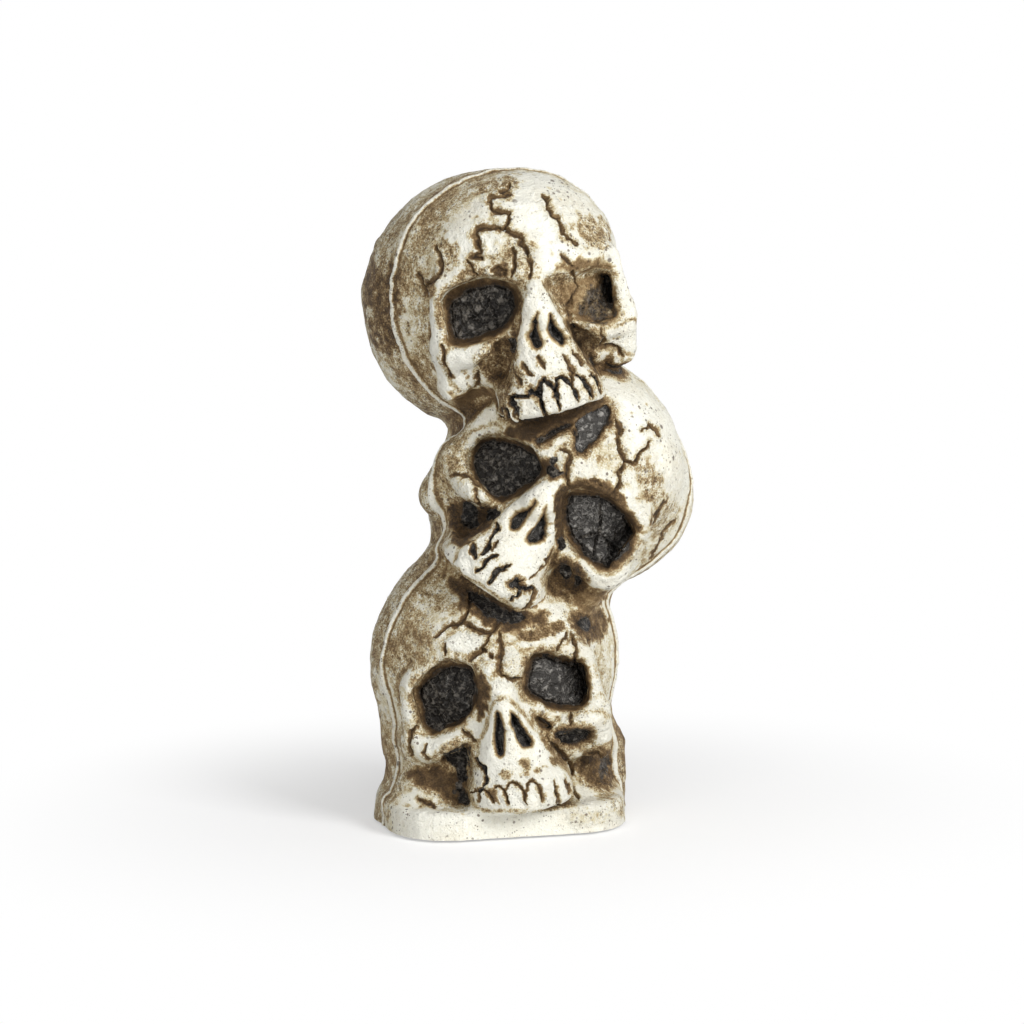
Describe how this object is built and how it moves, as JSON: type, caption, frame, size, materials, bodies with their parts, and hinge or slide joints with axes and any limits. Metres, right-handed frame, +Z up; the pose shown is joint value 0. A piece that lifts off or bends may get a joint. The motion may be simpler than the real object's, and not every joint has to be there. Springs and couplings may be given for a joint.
{
  "type": "stacked skull halloween decoration",
  "caption": "Stacked leaning human skulls with cracked brows and bared upper teeth on a low plinth, a hollow split moulding with a sand-weighted, screwed base.",
  "frame": {"origin": "on the table under the middle of the outline, at the level of the undersides of the feet", "axes": "+Z up; the faces look towards -Y; +X is the viewer's right; the parting plane of the moulding is normal to Y"},
  "size_m": [0.195, 0.1546, 0.3755],
  "materials": {
    "bone_paint": "antiqued bone paint, brown and black wash in the hollows",
    "base_plastic": "fine grained black plastic",
    "gasket_foam": "matte closed-cell foam",
    "plug_plastic": "satin plastic",
    "sand": "loose dry grains",
    "foot_rubber": "matte rubber",
    "screw_steel": "zinc plated"
  },
  "bodies": {
    "stack": {"front_shell": "bone_paint", "rear_shell": "bone_paint", "base_plate": "base_plastic", "base_gasket": "gasket_foam", "sand_ballast": "sand", "foot_front_left": "foot_rubber", "foot_front_right": "foot_rubber", "foot_rear_left": "foot_rubber", "foot_rear_right": "foot_rubber", "base_screw_front_left": "screw_steel", "base_screw_front_right": "screw_steel", "base_screw_rear_left": "screw_steel", "base_screw_rear_right": "screw_steel"},
    "plug": {"filler_plug": "plug_plastic"}
  },
  "joints": [
    {"name": "plug_pull", "type": "slide", "parent": "stack", "child": "plug", "axis": [0, 0, -1], "range_m": [0, 0.02]}
  ]
}
